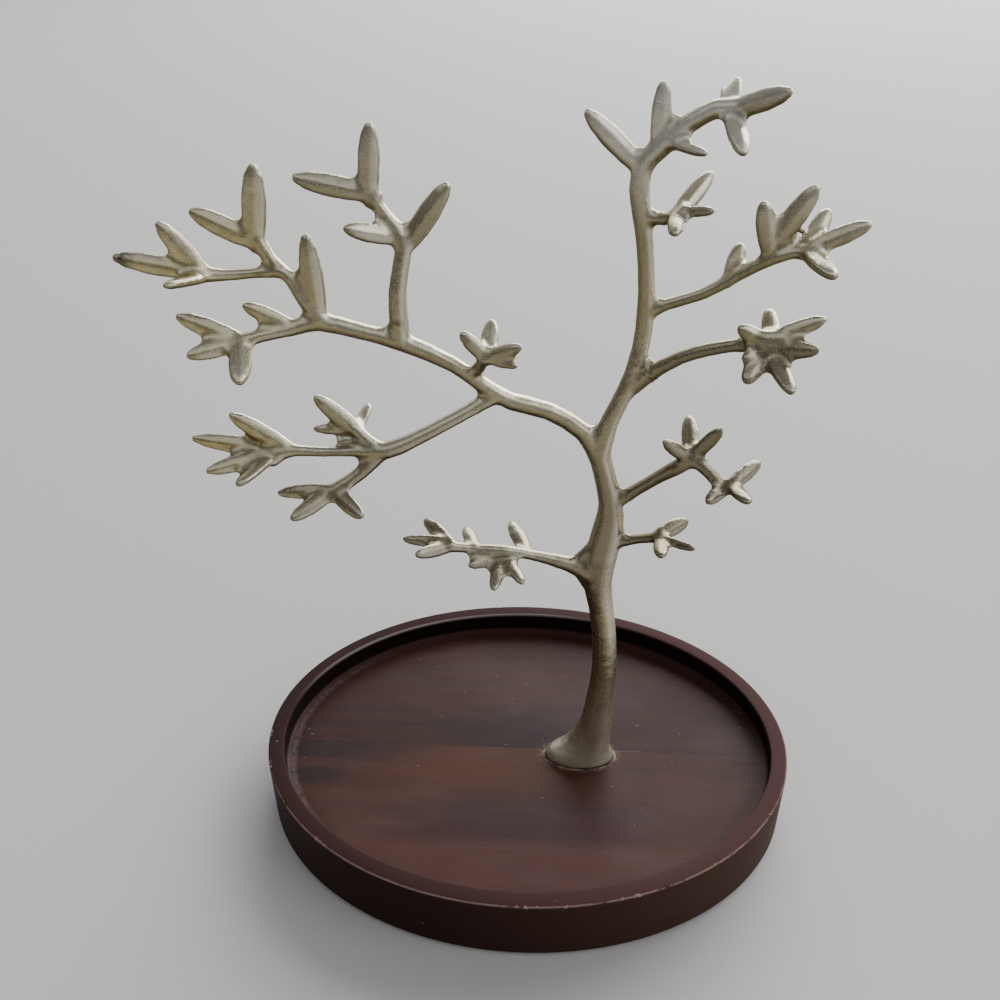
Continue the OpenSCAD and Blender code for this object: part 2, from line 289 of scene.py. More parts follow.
def ring_round(bm, middles, centre, direction, radius):
    """The closed ring of faces that a plane cuts round one limb, as near its joint as the limb is free."""
    for step in range(9):
        at = centre + direction * step * 0.4 * MM
        near = np.nonzero(np.linalg.norm(middles - np.array(at), axis=1) < radius * 3)[0]

        def crosses(item):
            sides = {(v.co - at).dot(direction) > 0 for v in item.verts}
            return len(sides) == 2

        cut = [bm.faces[i] for i in near if crosses(bm.faces[i])]
        first = min(cut, key=lambda f: (f.calc_center_median() - at).length)
        ring = spread(first, crosses)
        if max((f.calc_center_median() - at).length for f in ring) < radius * 1.35 + 1.0 * MM:
            return ring, at
    raise RuntimeError("no free ring round a joint")


def castings_apart(piece, meshes, joints):
    """Cuts the skin at every joint and gives each casting its own closed piece."""
    bm = bmesh.new()
    bm.from_mesh(piece.data)
    bm.edges.layers.int.new("cut")
    bm.faces.layers.int.new("label")
    barrier = bm.edges.layers.int["cut"]
    label = bm.faces.layers.int["label"]
    bm.faces.ensure_lookup_table()
    middles = np.array([f.calc_center_median() for f in bm.faces])
    rings = [ring_round(bm, middles, *joint[2:]) for joint in joints]
    for (ring, at), joint in zip(rings, joints):
        edges = list({e for f in ring for e in f.edges})
        verts = list({v for f in ring for v in f.verts})
        made = bmesh.ops.bisect_plane(
            bm, geom=verts + edges + ring, plane_co=at, plane_no=joint[3], dist=0.01 * MM)
        for g in made["geom_cut"]:
            if isinstance(g, bmesh.types.BMEdge):
                g[barrier] = 1
    skins = {n: BVHTree.FromBMesh(meshes[n]) for n in meshes}
    seen = set()
    groups = []
    for first in bm.faces:
        if first not in seen:
            groups.append(spread(first, lambda e: not e[barrier]))
            seen.update(groups[-1])
    owner = {}
    for group in groups:
        votes = {}
        for f in group[:: max(1, len(group) // 60)]:
            at = f.calc_center_median()
            best = min(skins, key=lambda n: skins[n].find_nearest(at)[3])
            votes[best] = votes.get(best, 0) + 1
        name = max(votes, key=votes.get)
        owner.setdefault(name, []).extend(group)
    assert set(owner) == set(meshes), "a casting has no faces of its own"
    names = list(meshes)
    for n, group in owner.items():
        for f in group:
            f[label] = names.index(n)
    whole = bpy.data.meshes.new("whole")
    bm.to_mesh(whole)
    bm.free()
    pieces = {}
    for k, n in enumerate(names):
        part = bmesh.new()
        part.from_mesh(whole)
        mark = part.faces.layers.int["label"]
        bmesh.ops.delete(part, geom=[f for f in part.faces if f[mark] != k], context="FACES")
        for f in part.faces:
            f.smooth = True
        rim = [e for e in part.edges if e.is_boundary]
        caps = bmesh.ops.holes_fill(part, edges=rim, sides=0)["faces"]
        for f in caps:
            f.smooth = False
            for e in f.edges:
                e.smooth = False
        bmesh.ops.triangulate(part, faces=caps)
        part.faces.layers.int.remove(mark)
        part.edges.layers.int.remove(part.edges.layers.int["cut"])
        pieces[n] = piece_from("cast_" + n, part)
    bpy.data.meshes.remove(whole)
    return pieces


def cast_tree():
    meshes = {n: copied(n) for n in CASTINGS}
    joints = joints_between(meshes)
    whole = cast_whole(meshes, joints)
    cast_surface(whole, joints)
    pieces = castings_apart(whole, meshes, joints)
    old = whole.data
    bpy.data.objects.remove(whole)
    bpy.data.meshes.remove(old)
    for bm in meshes.values():
        bm.free()
    return pieces


# ---------------------------------------------------------------- oval pieces
OVAL_SIDES = 256


def oval_stack(profile):
    """A closed oval body: a ring at each (inset, height) of the profile, and a face at both ends."""
    bm = bmesh.new()
    ring = bmesh.ops.create_circle(bm, cap_ends=False, segments=OVAL_SIDES, radius=1)["verts"]
    edges = list(bm.edges)
    inset, height = profile[0]
    bmesh.ops.scale(bm, vec=(half_l - inset, half_w - inset, 1), verts=ring)
    bmesh.ops.translate(bm, vec=(0, 0, height), verts=ring)
    bmesh.ops.contextual_create(bm, geom=edges)
    for wider, higher in profile[1:]:
        grown = bmesh.ops.extrude_edge_only(bm, edges=edges)["geom"]
        ring = [g for g in grown if isinstance(g, bmesh.types.BMVert)]
        edges = [g for g in grown if isinstance(g, bmesh.types.BMEdge)]
        factor = ((half_l - wider) / (half_l - inset), (half_w - wider) / (half_w - inset), 1)
        bmesh.ops.scale(bm, vec=factor, verts=ring)
        bmesh.ops.translate(bm, vec=(0, 0, higher - height), verts=ring)
        inset, height = wider, higher
    bmesh.ops.contextual_create(bm, geom=edges)
    bmesh.ops.recalc_face_normals(bm, faces=bm.faces)
    return bm


def arc(centre, radius, start, end, steps):
    """Points of a round edge, in the plane of inset and height."""
    turns = [math.radians(start + (end - start) * k / steps) for k in range(steps + 1)]
    return [(centre[0] + radius * math.cos(t), centre[1] + radius * math.sin(t)) for t in turns]


def tray_profile():
    """Once round the tray's section, from the middle of the underside to the middle of the floor."""
    edge = 0.9 * MM
    lip = 0.7 * MM
    cove = 1.6 * MM
    middle = 30 * MM
    return (
        [(middle, felt_top)]
        + arc((edge, felt_top + edge), edge, 270, 180, 4)
        + arc((edge, tray_top - edge), edge, 180, 90, 6)
        + arc((rim_w - lip, tray_top - lip), lip, 90, 0, 5)
        + arc((rim_w + cove, floor_z + cove), cove, 180, 270, 6)
        + [(rim_w + 5 * MM, floor_z), (middle, floor_z)]
    )


def drilled(piece, cutters):
    """Cuts round bores out of a piece: each cutter is (x, y, low, high, radius)."""
    for x, y, low, high, radius in cutters:
        bm = bmesh.new()
        bmesh.ops.create_cone(
            bm, cap_ends=True, segments=48, radius1=radius, radius2=radius, depth=high - low,
            matrix=Matrix.Translation((x, y, (low + high) / 2)))
        drill = piece_from("drill", bm)
        cut = piece.modifiers.new("bore", "BOOLEAN")
        cut.operation = "DIFFERENCE"
        cut.solver = "EXACT"
        cut.object = drill
        applied(piece)
        old = drill.data
        bpy.data.objects.remove(drill)
        bpy.data.meshes.remove(old)


def sharpened(bm, angle):
    for e in bm.edges:
        e.smooth = e.calc_face_angle(0) < math.radians(angle)
    for f in bm.faces:
        f.smooth = True


def tray_boards(material):
    """The tray, drilled and sawn in two along its glue line."""
    whole = piece_from("tray", oval_stack(tray_profile()))
    below = felt_top - 1 * MM
    drilled(whole, [
        (bolt_x, bolt_y, below, tray_top, BOLT_RADIUS + BOLT_SLACK),
        (bolt_x, bolt_y, below, seat_z, COUNTERBORE_RADIUS),
    ])
    glue = 0.06 * MM
    for name, side in (("tray_front_board", -1), ("tray_back_board", 1)):
        bm = bmesh.new()
        bm.from_mesh(whole.data)
        bmesh.ops.remove_doubles(bm, verts=bm.verts, dist=0.001 * MM)
        bmesh.ops.bisect_plane(
            bm, geom=bm.verts[:] + bm.edges[:] + bm.faces[:], plane_co=(0, side * glue / 2, 0),
            plane_no=(0, -side, 0), clear_outer=True, dist=0.0005 * MM)
        bmesh.ops.holes_fill(bm, edges=[e for e in bm.edges if e.is_boundary], sides=0)
        sharpened(bm, 35)
        board = piece_from("wood_" + name, bm)
        take_over(board, material, "tray_wood", name)
    old = whole.data
    bpy.data.objects.remove(whole)
    bpy.data.meshes.remove(old)


def felt_piece(material):
    """The felt pad, with a soft edge."""
    inset = half_l - (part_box("felt_pad")[1].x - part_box("felt_pad")[0].x) / 2
    soft = 0.7 * MM
    middle = 60 * MM
    profile = (
        [(middle, 0.0)]
        + arc((inset + soft, soft), soft, 270, 180, 4)
        + arc((inset + soft, felt_top - soft), soft, 180, 90, 4)
        + [(middle, felt_top)]
    )
    bm = oval_stack(profile)
    sharpened(bm, 60)
    take_over(piece_from("felt_under_tray", bm), material, "felt", "felt_pad")


# ---------------------------------------------------------------- fixing
def bolt_piece(material):
    """The hexagon-headed bolt, with a chamfered head and a rounded shank end."""
    head_low = bolt_low.z
    head_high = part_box("spring_washer")[0].z
    across = (bolt_high.x - bolt_low.x) / 2
    bury = 0.4 * MM
    bm = bmesh.new()
    bmesh.ops.create_cone(
        bm, cap_ends=True, segments=6, radius1=across, radius2=across, depth=head_high - head_low,
        matrix=Matrix.Translation((bolt_x, bolt_y, (head_low + head_high) / 2)))
    rim = [e for e in bm.edges if all(v.co.z < head_low + 0.1 * MM for v in e.verts)]
    bmesh.ops.bevel(bm, geom=rim, offset=0.5 * MM, segments=2, profile=0.5, affect="EDGES", material=-1)
    bmesh.ops.create_cone(
        bm, cap_ends=True, segments=48, radius1=BOLT_RADIUS, radius2=BOLT_RADIUS,
        depth=bolt_high.z - head_high + bury,
        matrix=Matrix.Translation((bolt_x, bolt_y, (bolt_high.z + head_high - bury) / 2)))
    end = [e for e in bm.edges if all(v.co.z > bolt_high.z - 0.1 * MM for v in e.verts)]
    bmesh.ops.bevel(bm, geom=end, offset=0.6 * MM, segments=3, profile=0.5, affect="EDGES", material=-1)
    sharpened(bm, 30)
    take_over(piece_from("steel_fixing_bolt", bm), material, "fixing_steel", "fixing_bolt")


def washer_piece(node, split, material):
    """A washer with rounded edges; a spring washer is split and its ends stand apart."""
    low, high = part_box(node)
    bore = BOLT_RADIUS + BOLT_SLACK
    outer = (high.x - low.x) / 2
    ease = 0.2 * MM
    bm = bmesh.new()
    corners = [(bore, low.z), (outer, low.z), (outer, high.z), (bore, high.z)]
    verts = [bm.verts.new((bolt_x + r, bolt_y, z)) for r, z in corners]
    bm.faces.new(verts)
    bmesh.ops.bevel(bm, geom=verts, offset=ease, segments=2, profile=0.5, affect="VERTICES", material=-1)
    gap = math.radians(12) if split else 0
    geom = bm.verts[:] + bm.edges[:] + bm.faces[:]
    bmesh.ops.rotate(bm, cent=(bolt_x, bolt_y, 0), matrix=Matrix.Rotation(gap / 2, 3, "Z"), verts=bm.verts)
    bmesh.ops.spin(
        bm, geom=geom, cent=(bolt_x, bolt_y, 0), axis=(0, 0, 1), angle=math.tau - gap,
        steps=56, use_merge=not split)
    if not split:
        bmesh.ops.delete(bm, geom=[f for f in bm.faces if len(f.verts) > 4], context="FACES_ONLY")
    bmesh.ops.remove_doubles(bm, verts=bm.verts, dist=0.001 * MM)
    bmesh.ops.recalc_face_normals(bm, faces=bm.faces)
    sharpened(bm, 40)
    take_over(piece_from("steel_" + node, bm), material, "fixing_steel", node)


# ---------------------------------------------------------------- shader expressions
class Wire:
    """A socket that can be used in sums, so that shader maths reads as Python."""

    def __init__(self, shader, socket):
        self.shader = shader
        self.socket = socket

    def _maths(self, operation, *values):
        return self.shader.node("ShaderNodeMath", {"operation": operation}, list(values))

    def __add__(self, other):
        return self._maths("ADD", self, other)

    def __radd__(self, other):
        return self._maths("ADD", other, self)

    def __sub__(self, other):
        return self._maths("SUBTRACT", self, other)

    def __rsub__(self, other):
        return self._maths("SUBTRACT", other, self)

    def __mul__(self, other):
        return self._maths("MULTIPLY", self, other)

    def __truediv__(self, other):
        return self._maths("DIVIDE", self, other)

    def __pow__(self, other):
        return self._maths("POWER", self, other)

    def abs(self):
        return self._maths("ABSOLUTE", self)

    def sqrt(self):
        return self._maths("SQRT", self)

    def max(self, other):
        return self._maths("MAXIMUM", self, other)

    def min(self, other):
        return self._maths("MINIMUM", self, other)

    def step(self, low, high):
        """0 below low, 1 above high, smooth between; low may be above high."""
        settings = {"interpolation_type": "SMOOTHSTEP"}
        inputs = {"Value": self, "From Min": low, "From Max": high}
        return self.shader.node("ShaderNodeMapRange", settings, inputs)


class Shader:
    """The node tree of a material or of the dome."""

    def __init__(self, owner):
        owner.use_nodes = True
        self.owner = owner
        self.tree = owner.node_tree
        self.tree.nodes.clear()

    def node(self, kind, settings=None, inputs=None, output=0):
        """Adds a node; its settings first, then the values and wires of its inputs."""
        made = self.tree.nodes.new(kind)
        for key, value in (settings or {}).items():
            if key == "stops":
                ramp = made.color_ramp.elements
                while len(ramp) < len(value):
                    ramp.new(0.5)
                for element, (place, colour) in zip(ramp, value):
                    element.position = place
                    element.color = (*colour, 1)
            else:
                setattr(made, key, value)
        pairs = enumerate(inputs) if isinstance(inputs, list) else (inputs or {}).items()
        for key, value in pairs:
            socket = made.inputs[key]
            if isinstance(value, Wire):
                self.tree.links.new(value.socket, socket)
            elif isinstance(value, tuple) and socket.type == "RGBA":
                socket.default_value = (*value, 1)
            else:
                socket.default_value = value
        return Wire(self, made.outputs[output]) if made.outputs else None

    def place(self):
        """Object coordinates in millimetres."""
        at = self.node("ShaderNodeTexCoord", output="Object")
        return self.node("ShaderNodeVectorMath", {"operation": "SCALE"}, {"Vector": at, "Scale": 1 / MM})

    def axes(self, at):
        made = self.tree.nodes.new("ShaderNodeSeparateXYZ")
        self.tree.links.new(at.socket, made.inputs[0])
        return [Wire(self, made.outputs[i]) for i in range(3)]

    def stretched(self, at, factors):
        return self.node("ShaderNodeVectorMath", {"operation": "MULTIPLY"}, [at, factors])

    def noise(self, at, scale, detail=4.0, roughness=0.55, distortion=0.0):
        inputs = {"Vector": at, "Scale": scale, "Detail": detail, "Roughness": roughness,
                  "Distortion": distortion}
        return self.node("ShaderNodeTexNoise", {}, inputs)

    def cells(self, at, scale):
        """Distance to the nearest of many scattered points."""
        inputs = {"Vector": at, "Scale": scale, "Randomness": 1.0}
        return self.node("ShaderNodeTexVoronoi", {"feature": "F1"}, inputs)

    def attribute(self, name):
        return self.node("ShaderNodeAttribute", {"attribute_name": name}, output="Fac")

    def mix(self, share, one, other):
        """Mixes two colours, from one at share 0 to the other at share 1."""
        made = self.tree.nodes.new("ShaderNodeMix")
        made.data_type = "RGBA"
        for socket, value in zip((made.inputs[0], made.inputs[6], made.inputs[7]), (share, one, other)):
            if isinstance(value, Wire):
                self.tree.links.new(value.socket, socket)
            else:
                socket.default_value = (*value, 1) if isinstance(value, tuple) else value
        return Wire(self, made.outputs[2])

    def ramp(self, value, stops):
        return self.node("ShaderNodeValToRGB", {"stops": stops}, [value])

    def bump(self, height, distance, strength, under=None):
        inputs = {"Height": height, "Distance": distance, "Strength": strength}
        if under:
            inputs["Normal"] = under
        return self.node("ShaderNodeBump", {}, inputs)

    def skin(self, **inputs):
        """One Principled surface."""
        named = {key.replace("_", " "): value for key, value in inputs.items()}
        return self.node("ShaderNodeBsdfPrincipled", {}, named)

    def covered(self, share, under, over):
        """One surface partly covered by another."""
        return self.node("ShaderNodeMixShader", {}, {0: share, 1: under, 2: over})

    def finished(self, skin):
        """Ends the tree in a surface."""
        self.node("ShaderNodeOutputMaterial", {}, {"Surface": skin})
        return self.owner

    def surface(self, **inputs):
        """Ends the tree in one Principled surface."""
        return self.finished(self.skin(**inputs))


# ---------------------------------------------------------------- materials
def cast_metal():
    """Sand-cast alloy in an old nickel tone: satin, paler on worn ridges, dark with patina in the hollows,
    dull at the brazing. Light and shade are painted into it by facing and place: painted highlights on the
    tops, crown, foot and a streak down the trunk, painted glints, and painted shade on the undersides,
    left flanks and low branches."""
    s = Shader(bpy.data.materials.new("cast_metal"))
    at = s.place()
    x, _, z = s.axes(at)
    hollow = s.attribute("hollow")
    braze = s.attribute("braze")
    upward = s.attribute("upward")
    leftward = s.attribute("leftward")
    forward = s.attribute("forward")
    cloud = s.noise(at, 0.045, 3.0)
    mottle = s.noise(at, 0.35, 4.0)
    grit = s.noise(at, 1.6, 3.0, 0.65)

    # Painted light and shade by facing: the tone is pale on the upper faces and dark below and on the left
    # flank, with a random cloudy variation.
    painted_facing_light = upward + (cloud - 0.5) * 0.15 - leftward * 0.22
    tone = s.ramp(painted_facing_light * 0.5 + 0.5, [
        (0.12, (0.120, 0.100, 0.048)), (0.40, (0.27, 0.230, 0.122)), (0.58, (0.43, 0.378, 0.228)),
        (0.76, (0.70, 0.640, 0.455)), (0.94, (0.86, 0.805, 0.62))])
    # Painted shade: the branches in a band low on the tree are darkened.
    low_down = z.step(212, 160) * z.step(108, 130)
    tone = s.mix(low_down * 0.72, tone, (0.22, 0.185, 0.118))
    olive = s.ramp(cloud * 0.5 + mottle * 0.5, [(0.35, (0.50, 0.40, 0.12)), (0.65, (0.84, 0.75, 0.40))])
    far_left = x.step(-62, -112) * upward.step(0.9, 0.25) * upward.step(-0.75, -0.1)
    tone = s.mix(far_left * 0.70, tone, olive)
    # Painted light: the foot is paler, and further down it is made less metallic so that diffuse light
    # lifts it.
    foot = z.step(84, 26)
    tone = s.mix(foot * 0.70, tone, (0.56, 0.51, 0.40))
    # Painted highlight: a pale streak down the right front of the trunk and limbs, on faces that point
    # right and forward.
    painted_streak = leftward.step(-0.08, -0.50) * leftward.step(-0.97, -0.55) * forward.step(0.1, 0.6)
    painted_streak = painted_streak * upward.abs().step(0.70, 0.25)
    tone = s.mix(painted_streak * (0.40 + mottle * 0.25), tone, (0.84, 0.81, 0.71))
    smoke = cloud.step(0.54, 0.68) * 0.25
    tone = s.mix(smoke, tone, (0.22, 0.19, 0.125))
    worn = hollow.step(-0.22, -0.85)
    # Ridges paler only where they face up: wear on the ridges, with a painted highlight on their tops.
    tone = s.mix(worn * upward.step(0.1, 0.7) * 0.30, tone, (0.84, 0.80, 0.67))

    # Painted light and shade: the crown is painted paler and made less metallic, a painted highlight, and
    # the low branches on the right are painted darker, a painted shade.
    crown = z.step(258, 298) * (0.35 + x.step(5, 30) * 0.65) * upward.step(-0.3, 0.2)
    tone = s.mix(crown * 0.80, tone, (0.95, 0.91, 0.79))
    low_right = x.step(30, 55) * z.step(245, 228)
    tone = s.mix(low_right * 0.50, tone, (0.15, 0.122, 0.078))
    patina = hollow.step(0.06, 0.70) * 0.80
    tone = s.mix(patina, tone, (0.085, 0.072, 0.040))
    tone = s.mix(braze.step(0.08, 0.55) * 0.45, tone, (0.30, 0.24, 0.13))
    tip = x.step(-125, -133) * mottle.step(0.30, 0.55)
    tone = s.mix(tip * 0.88, tone, (0.045, 0.035, 0.030))
    # Painted glints: pale flecks on the faces that point up, fewer low down.
    painted_glint = grit.step(0.52, 0.64) * upward.step(-0.2, 0.5) * (1 - low_down * 0.6)
    tone = s.mix(painted_glint * 0.45, tone, (0.90, 0.86, 0.74))

    rough = 0.20 + mottle * 0.04 + grit * 0.10 + patina * 0.16 + braze * 0.12 - worn * 0.06
    brushed = s.noise(s.stretched(at, (1.0, 1.0, 0.12)), 3.2, 3.0, 0.7)
    relief = s.bump(brushed, 0.05 * MM, 0.35)
    relief = s.bump(grit, 0.13 * MM, 0.7, relief)
    relief = s.bump(mottle, 0.2 * MM, 0.2, relief)
    # The foot and the crown are made less metallic so that diffuse light lifts their painted highlight;
    # the patina is less metallic too.
    metal = 0.92 - foot * 0.42 - patina * 0.2 - crown * 0.25
    bare = s.skin(Base_Color=tone, Metallic=metal, Roughness=rough, Normal=relief,
                  Specular_Tint=(0.70, 0.66, 0.54), Specular_IOR_Level=0.3)

    # Painted shade: a dark, duller surface laid over the undersides, the left flanks and the leaves' lower
    # edges.
    under = upward.step(-0.02, -0.65) * 0.80
    edges = hollow.step(-0.25, -0.80) * upward.step(0.35, -0.05) * 0.50
    flank = leftward.step(0.35, 0.95) * 0.55
    cover = under.max(edges).max(flank) * (1 - foot * 0.6)
    dark = s.mix(cloud, (0.075, 0.060, 0.032), (0.150, 0.126, 0.072))
    painted_shade_skin = s.skin(Base_Color=dark, Metallic=0.55, Roughness=0.48, Normal=relief,
                       Specular_Tint=(0.22, 0.19, 0.13), Specular_IOR_Level=0.15)
    return s.finished(s.covered(cover.min(0.92), bare, painted_shade_skin))


def stained_wood():
    """Mahogany-stained boards under satin lacquer, with the stain's patches, the worn rim and specks;
    painted highlights on the rim's edges and the cove, a painted sheen on the floor, and painted shade
    darkening the rim and walls towards the left.
    """
    s = Shader(bpy.data.materials.new("stained_wood"))
    at = s.place()
    x, y, z = s.axes(at)
    a_in = (half_l - rim_w) / MM
    b_in = (half_w - rim_w) / MM
    a_out = half_l / MM
    b_out = half_w / MM
    top = tray_top / MM
    ground = floor_z / MM
    front = y.step(0.05, -0.05)
    on_floor = z.step(ground + 1, ground + 0.2)

    warp = (s.noise(s.stretched(at, (0.012, 0.05, 0.05)), 1.0, 3.0) - 0.5) * 26
    streak = s.noise(s.stretched(at, (0.010, 0.22, 0.22)), 1.0, 6.0, 0.6, 0.3)
    fine = s.noise(s.stretched(at, (0.045, 1.3, 1.3)), 1.0, 4.0, 0.65)
    pore = s.noise(s.stretched(at, (0.12, 3.2, 3.2)), 1.0, 2.0, 0.5).step(0.60, 0.72)
    cloud = s.noise(s.stretched(at, (0.012, 0.03, 0.03)), 1.0, 3.0)

    def patch(cx, cy, rx, ry, soft=0.55):
        """A soft oval patch, its edge bent by the grain."""
        u = (x - cx) / rx
        v = (y - cy + warp * 0.25) / ry
        return (u * u + v * v).sqrt().step(1 + soft, 1 - soft)

    plum = (0.026, 0.013, 0.015)
    colour = s.ramp(streak * 0.6 + cloud * 0.4, [
        (0.34, (0.036, 0.015, 0.013)), (0.47, (0.054, 0.021, 0.016)), (0.56, (0.066, 0.022, 0.015)),
        (0.68, (0.088, 0.028, 0.016))])

    left_band = (y + (x + 70) * 0.05).step(-13, -10) * x.step(-28, -52) * front
    colour = s.mix(left_band * 0.85, colour, plum)
    thin_dark = patch(-95, -20, 14, 5, 0.4) * front
    colour = s.mix(thin_dark * 0.85, colour, plum)
    glow = patch(-20, -13, 46, 14) * front
    colour = s.mix(glow * 0.75, colour, (0.092, 0.030, 0.014))
    deep = patch(8, -43, 50, 13) * front
    colour = s.mix(deep * 0.7, colour, (0.052, 0.026, 0.027))
    rosy = (y + warp * 0.3).step(-46, -58) * front
    colour = s.mix(rosy * 0.7, colour, (0.110, 0.042, 0.037))
    wedge = patch(0, 10, 36, 15) * (1 - front)
    colour = s.mix(wedge * 0.8, colour, (0.024, 0.012, 0.014))
    rear = patch(-35, 48, 70, 24) * (1 - front)
    colour = s.mix(rear * 0.4, colour, (0.074, 0.026, 0.014))
    colour = s.mix((1 - front) * 0.30, colour, (0.020, 0.008, 0.007))
    colour = s.mix(fine.step(0.35, 0.75) * 0.25, colour, (0.018, 0.007, 0.006))
    colour = s.mix(pore * 0.35, colour, (0.012, 0.005, 0.005))

    in_ring = ((x / a_in) ** 2 + (y / b_in) ** 2).sqrt()
    on_rim = in_ring.step(0.995, 1.002) * z.step(top - 2.2, top - 0.8)
    # Painted shade: the rim is darker at the left end and paler at the right.
    rim_tone = s.mix(x.step(-90, 90), (0.030, 0.011, 0.010), (0.074, 0.030, 0.028))
    colour = s.mix(on_rim * 0.85, colour, rim_tone)
    outer = ((x / a_out) ** 2 + (y / b_out) ** 2).sqrt()
    outer_wall = outer.step(0.985, 0.994) * z.step(top - 0.7, top - 2.0)
    inner_wall = in_ring.step(0.984, 0.992) * outer.step(0.985, 0.97)
    inner_wall = inner_wall * z.step(ground + 0.8, ground + 2.2) * z.step(top - 0.6, top - 1.6)
    # The outer wall is painted nearly black at the left and brown at the right, a painted shade over a
    # darker stain; the inner wall is painted nearly black, partly dark stain and partly painted shade.
    wall_tone = s.mix(x.step(-60, 100) * 0.9, (0.016, 0.0035, 0.0014), (0.060, 0.028, 0.016))
    colour = s.mix(outer_wall * 0.93, colour, wall_tone)
    colour = s.mix(inner_wall * 0.95, colour, (0.006, 0.002, 0.002))

    # Pale marks: along the cove, partly worn lacquer and partly a painted highlight; a painted highlight
    # on the back of the rim's inner lip and on its front and right outer edge, with worn chips on the
    # outer edge all round; worn lacquer along the glue line.
    chips = s.noise(at, 0.45, 3.0, 0.65)
    # Partly worn lacquer, partly painted highlight: a broken pale line along the cove, strongest at the
    # left end.
    cove = in_ring.step(0.950, 0.972) * in_ring.step(0.992, 0.980) * z.step(ground + 2.4, ground + 0.9)
    cove = cove * (0.25 + x.step(-60, -108) * 0.75) * chips.step(0.30, 0.55)
    colour = s.mix(cove * 0.40, colour, (0.20, 0.15, 0.145))
    # Painted highlight: a pale line on the rim's inner lip at the back.
    back_lip = y.step(10, 60) * x.step(50, 0)
    lip = in_ring.step(0.992, 1.0) * in_ring.step(1.018, 1.006) * z.step(top - 1.2, top - 0.3)
    colour = s.mix(lip * back_lip * 0.5, colour, (0.36, 0.31, 0.30))
    nicks = s.noise(at, 0.16, 4.0, 0.75)
    inset = (1 - outer) * ((a_out + b_out) / 2)
    arris = ((inset - 0.26) ** 2 + (z - (top - 0.26)) ** 2).sqrt()
    # Painted highlight: a broken pale line on the outer top edge at the front and right.
    edge = arris.step(0.55, 0.22) * y.step(-10, -60).max(x.step(60, 108) * 0.7)
    colour = s.mix(edge * nicks.step(0.34, 0.52) * 0.65, colour, (0.42, 0.30, 0.26))
    gashes = s.noise(at, 0.11, 5.0, 0.8).step(0.60, 0.66)
    chipped = arris.step(0.95, 0.5) * gashes
    colour = s.mix(chipped * 0.75, colour, (0.55, 0.43, 0.36))
    glue = y.abs().step(0.30, 0.10) * x.step(34, 42) * x.step(78, 60) * nicks.step(0.40, 0.52) * on_floor
    colour = s.mix(glue * 0.35, colour, (0.30, 0.21, 0.19))

    # Haze of old glue round the foot
    u = (x - 24.5) / 15.5
    v = (y + 3.0) / 8.5
    foot = (u * u + v * v).sqrt()
    haze = foot.step(1.35, 1.03) * foot.step(0.9, 1.0) * chips.step(0.40, 0.62) * on_floor
    colour = s.mix(haze * 0.34, colour, (0.32, 0.26, 0.22))
    ring = foot.step(1.09, 1.05) * foot.step(1.0, 1.03) * nicks.step(0.42, 0.56) * on_floor
    colour = s.mix(ring * 0.60, colour, (0.50, 0.45, 0.38))

    # Specks and short scratches in the lacquer
    dots = s.cells(at, 0.125)
    speck = dots.step(0.052, 0.025) * s.noise(at, 0.05, 2.0).step(0.42, 0.50)
    colour = s.mix(speck * 0.75, colour, (0.36, 0.27, 0.23))
    slanted = s.stretched(at, (0.055, 0.16, 0.1))
    lines = s.cells(slanted, 1.0)
    scratch = lines.step(0.05, 0.03) * s.noise(at, 0.05, 2.0).step(0.46, 0.52)
    colour = s.mix(scratch * 0.65, colour, (0.40, 0.31, 0.28))
    # A faint pale cloud over the floor: partly haze in the lacquer, partly a painted sheen.
    veil = s.noise(s.stretched(at, (0.02, 0.035, 0.03)), 1.0, 4.0, 0.6).step(0.40, 0.75)
    veil = veil * in_ring.step(0.98, 0.9)
    colour = s.mix(veil * 0.10, colour, (0.20, 0.15, 0.15))

    wall = outer_wall.max(inner_wall)
    rough = 0.46 + fine * 0.10 + cove * 0.15 + haze * 0.15 + (wall + on_rim) * 0.16
    coat = 0.08 - (wall + on_rim) * 0.07
    relief = s.bump(fine, 0.05 * MM, 0.25)
    relief = s.bump(pore, -0.08 * MM, 0.3, relief)
    relief = s.bump(speck.max(scratch), -0.12 * MM, 0.5, relief)
    return s.surface(Base_Color=colour, Roughness=rough, Coat_Weight=coat, Coat_Roughness=0.30,
                     Specular_IOR_Level=0.13, Normal=relief)


def pressed_felt():
    s = Shader(bpy.data.materials.new("pressed_felt"))
    at = s.place()
    tangle = s.noise(at, 1.6, 5.0, 0.7, 0.8)
    tone = s.ramp(tangle, [(0.3, (0.018, 0.016, 0.015)), (0.7, (0.052, 0.048, 0.044))])
    relief = s.bump(tangle, 0.4 * MM, 0.8)
    return s.surface(Base_Color=tone, Roughness=0.95, Sheen_Weight=0.3, Normal=relief)


def plated_steel():
    s = Shader(bpy.data.materials.new("plated_steel"))
    at = s.place()
    dull = s.noise(at, 0.9, 4.0)
    turned = s.noise(s.stretched(at, (0.3, 0.3, 4.0)), 1.0, 3.0)
    tone = s.ramp(dull, [(0.35, (0.40, 0.41, 0.42)), (0.7, (0.56, 0.57, 0.56))])
    relief = s.bump(turned, 0.03 * MM, 0.4)
    return s.surface(Base_Color=tone, Metallic=1.0, Roughness=0.28 + dull * 0.25, Normal=relief)


# ---------------------------------------------------------------- stage, light and camera
def stage_floor():
    """A plain pale floor."""
    bm = bmesh.new()
    bmesh.ops.create_grid(bm, x_segments=1, y_segments=1, size=4.0)
    ground = piece_from("pale_floor", bm)
    s = Shader(bpy.data.materials.new("pale_floor"))
    ground.data.materials.append(s.surface(Base_Color=(0.70, 0.685, 0.67), Roughness=0.8))


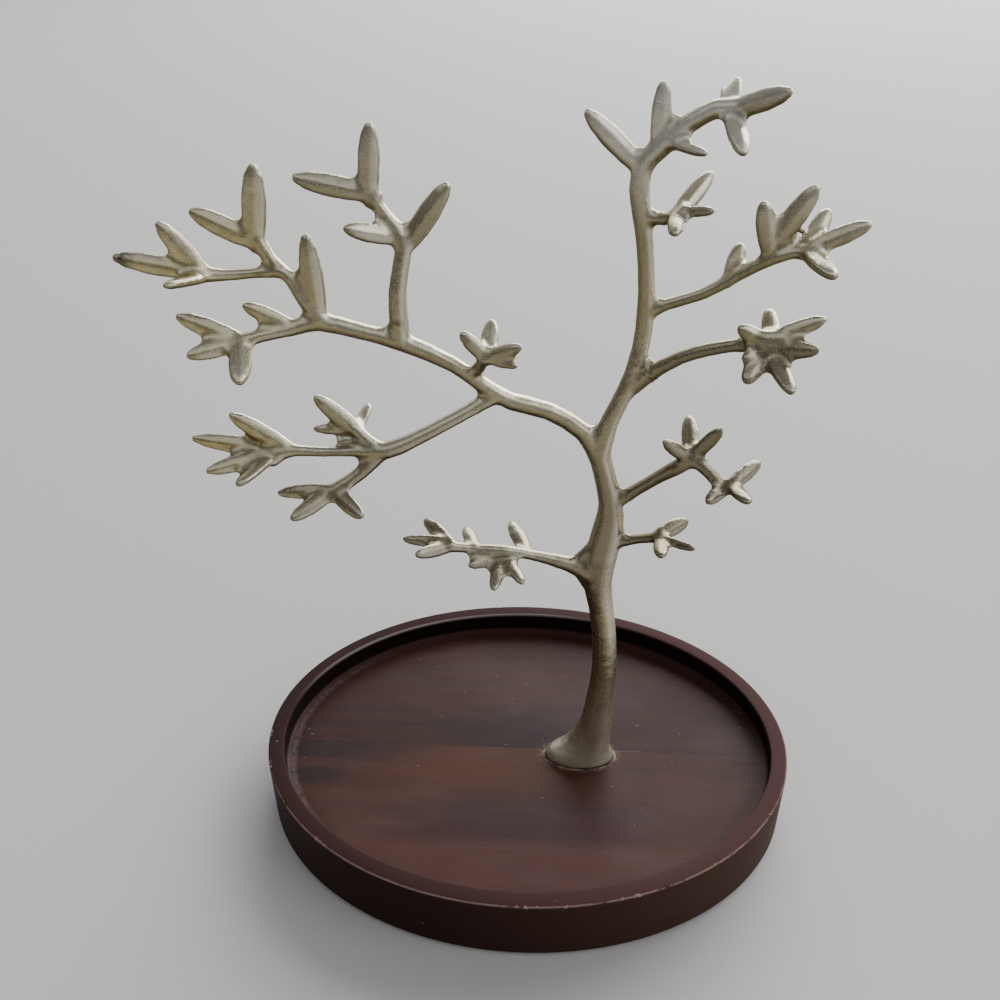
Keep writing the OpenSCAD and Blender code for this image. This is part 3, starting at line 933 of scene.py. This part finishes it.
def soft_light(name, place, target, size, power, colour=(1, 1, 1)):
    data = bpy.data.lights.new(name, "AREA")
    data.shape = "RECTANGLE"
    data.size, data.size_y = size
    data.energy = power
    data.color = colour
    lamp = bpy.data.objects.new(name, data)
    lamp.location = place
    lamp.rotation_euler = (Vector(target) - Vector(place)).to_track_quat("-Z", "Y").to_euler()
    bpy.context.scene.collection.objects.link(lamp)


def studio():
    """A softbox behind, above and to the right, and a dome whose glow is behind the object."""
    soft_light("softbox_behind", (1.5, 3.0, 2.1), (0, 0, 0.12), (5.0, 3.0), 200.0)
    soft_light("softbox_right", (2.6, -0.9, 1.9), (0, 0, 0.12), (2.0, 2.0), 18.0)
    world = bpy.data.worlds.new("studio_dome")
    bpy.context.scene.world = world
    dome = Shader(world)
    x, y, z = dome.axes(dome.node("ShaderNodeTexCoord", output="Generated"))
    glow = y.step(0.05, 0.80) * (x * 0.35 + 0.75) * z.step(1.05, 0.35)
    ceiling = y.step(0.10, -0.25) * z.step(0.50, 0.66) * z.step(0.94, 0.84)
    strength = glow * 1.25 + ceiling * 0.50 + x.step(-0.5, 0.9) * 0.18 + 0.13
    light = dome.node("ShaderNodeBackground", {}, {"Color": (0.97, 0.98, 1.0), "Strength": strength})
    dome.node("ShaderNodeOutputWorld", {}, {"Surface": light})


def camera():
    data = bpy.data.cameras.new("camera")
    data.lens = 36.19
    data.sensor_width = 36.0
    data.clip_start = 0.01
    eye = bpy.data.objects.new("camera", data)
    right = Vector((0.9986, 0.0533, -0.0062))
    up = Vector((-0.0244, 0.5533, 0.8326))
    back = right.cross(up).normalized()
    up = back.cross(right).normalized()
    turn = Matrix((right.normalized(), up, back)).transposed().to_4x4()
    eye.matrix_world = Matrix.Translation((7.6 * MM, -320.8 * MM, 371.8 * MM)) @ turn
    bpy.context.scene.collection.objects.link(eye)
    bpy.context.scene.camera = eye


# ---------------------------------------------------------------- the object
camera()
studio()
stage_floor()
metal = cast_metal()
steel = plated_steel()
for node, piece in cast_tree().items():
    take_over(piece, metal, "tree_metal", node)
tray_boards(stained_wood())
felt_piece(pressed_felt())
bolt_piece(steel)
washer_piece("flat_washer", False, steel)
washer_piece("spring_washer", True, steel)
